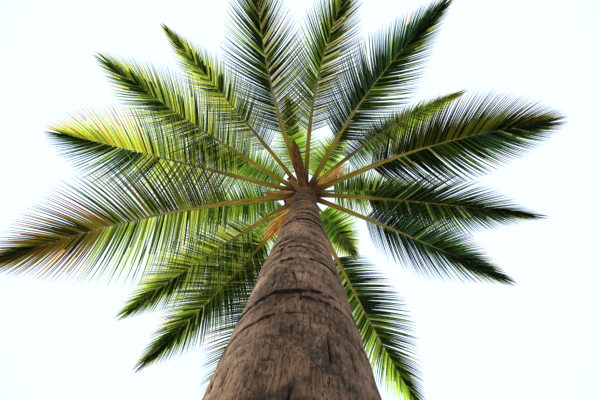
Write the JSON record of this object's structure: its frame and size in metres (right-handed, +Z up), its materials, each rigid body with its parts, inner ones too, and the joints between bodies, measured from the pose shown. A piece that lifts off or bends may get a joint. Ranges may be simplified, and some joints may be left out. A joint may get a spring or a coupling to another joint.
{
  "type": "coconut palm tree",
  "caption": "Coconut palm with a leaning, tapered, ringed trunk and a round crown of arching feather-shaped fronds, rooted in level ground.",
  "frame": {"origin": "middle of the flat cut under the trunk, at ground level", "axes": "+Z up. The trunk leans towards -Y and slightly towards +X"},
  "size_m": [8.8085, 8.4826, 8.1639],
  "materials": {
    "bark": "rough grey-brown bark with ring scars and fine upright cracks",
    "stem": "brown fibre and ochre leaf bases",
    "leaf": "semi-gloss green leaflets with yellow tips and an ochre-green rib",
    "young_leaf": "semi-gloss bright yellow-green leaflets",
    "flower": "matt orange and straw-coloured strands",
    "spathe": "dry ribbed brown sheath",
    "stub": "dry brown stalk with a pale weathered cut"
  },
  "bodies": {
    "root": {"trunk": "bark", "stem_tip": "stem", "spear_leaf": "young_leaf", "frond_01": "leaf", "frond_02": "leaf", "frond_03": "leaf", "frond_04": "leaf", "frond_05": "leaf", "frond_06": "leaf", "frond_07": "leaf", "frond_08": "leaf", "frond_09": "leaf", "frond_10": "leaf", "frond_11": "leaf", "frond_12": "leaf", "frond_13": "leaf", "frond_14": "leaf", "frond_15": "leaf", "young_frond_01": "young_leaf", "young_frond_02": "young_leaf", "young_frond_03": "young_leaf", "young_frond_04": "young_leaf", "young_frond_05": "young_leaf", "young_frond_06": "young_leaf", "young_frond_07": "young_leaf", "young_frond_08": "young_leaf", "flower_cluster_01": "flower", "flower_cluster_02": "flower", "spathe_01": "spathe", "spathe_02": "spathe", "stalk_stub_01": "stub", "stalk_stub_02": "stub"}
  },
  "joints": []
}
